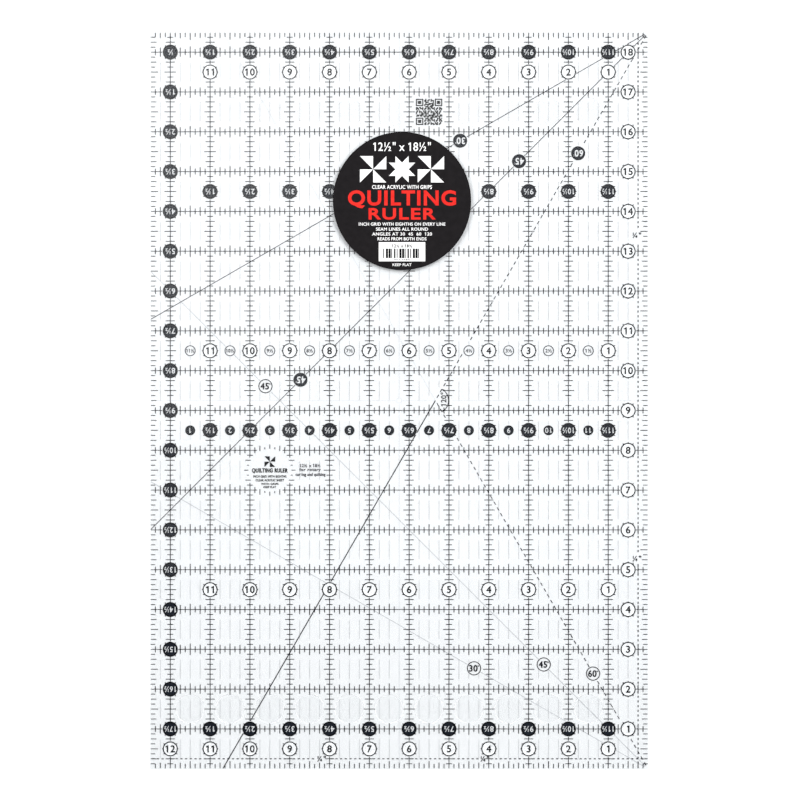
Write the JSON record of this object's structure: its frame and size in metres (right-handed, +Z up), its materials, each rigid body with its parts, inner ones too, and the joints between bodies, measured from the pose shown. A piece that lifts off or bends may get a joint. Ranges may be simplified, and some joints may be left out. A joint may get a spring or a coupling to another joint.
{
  "type": "quilting ruler",
  "caption": "Rectangular clear acrylic ruler for rotary cutting, with an inch grid, angle lines, number badges, grip pads under it and a round label on top.",
  "frame": {"origin": "centre of the plane that the grip pads rest on, midway between the sheet's edges", "axes": "+Z up through the sheet, +Y along its length to the far edge, +X across its width to the edge that the inch rings count from"},
  "size_m": [0.3174, 0.47, 0.0035],
  "materials": {
    "clear_acrylic": "gloss",
    "grip_clear": "satin",
    "black_ink": "satin",
    "grey_ink": "satin",
    "pale_ink": "satin",
    "label_black": "satin",
    "label_white": "satin",
    "label_red": "satin"
  },
  "bodies": {
    "root": {"acrylic_sheet": "clear_acrylic", "ring_grips": "grip_clear", "grip_pads_near": "grip_clear", "grip_pads_far": "grip_clear", "row_lines": "black_ink", "column_lines": "black_ink", "edge_graduations_left": "black_ink", "edge_graduations_right": "black_ink", "edge_graduations_near": "black_ink", "edge_graduations_far": "black_ink", "seam_line_near": "black_ink", "seam_line_right": "black_ink", "quarter_guides": "pale_ink", "centre_lines": "pale_ink", "angle_line_30_far": "black_ink", "angle_line_45_far": "black_ink", "angle_line_60_far": "black_ink", "angle_line_30_near": "grey_ink", "angle_line_45_near": "grey_ink", "angle_line_60_near": "black_ink", "angle_line_past_apex_far": "black_ink", "angle_line_past_apex_near": "grey_ink", "angle_mark_120": "black_ink", "angle_dots_far": "black_ink", "angle_rings_near": "black_ink", "inch_rings_right": "black_ink", "inch_rings_near": "black_ink", "inch_rings_lower": "black_ink", "inch_rings_middle": "black_ink", "inch_rings_far": "black_ink", "half_inch_dots_left": "black_ink", "half_inch_dots_near": "black_ink", "half_inch_dots_middle": "black_ink", "half_inch_dots_upper": "black_ink", "half_inch_dots_far": "black_ink", "small_rings": "grey_ink", "small_dots": "black_ink", "code_block": "black_ink", "maker_patch": "black_ink", "product_label": "label_black", "label_quilt_blocks": "label_white", "label_barcode_panel": "label_white", "label_barcode_bars": "label_black"}
  },
  "joints": []
}
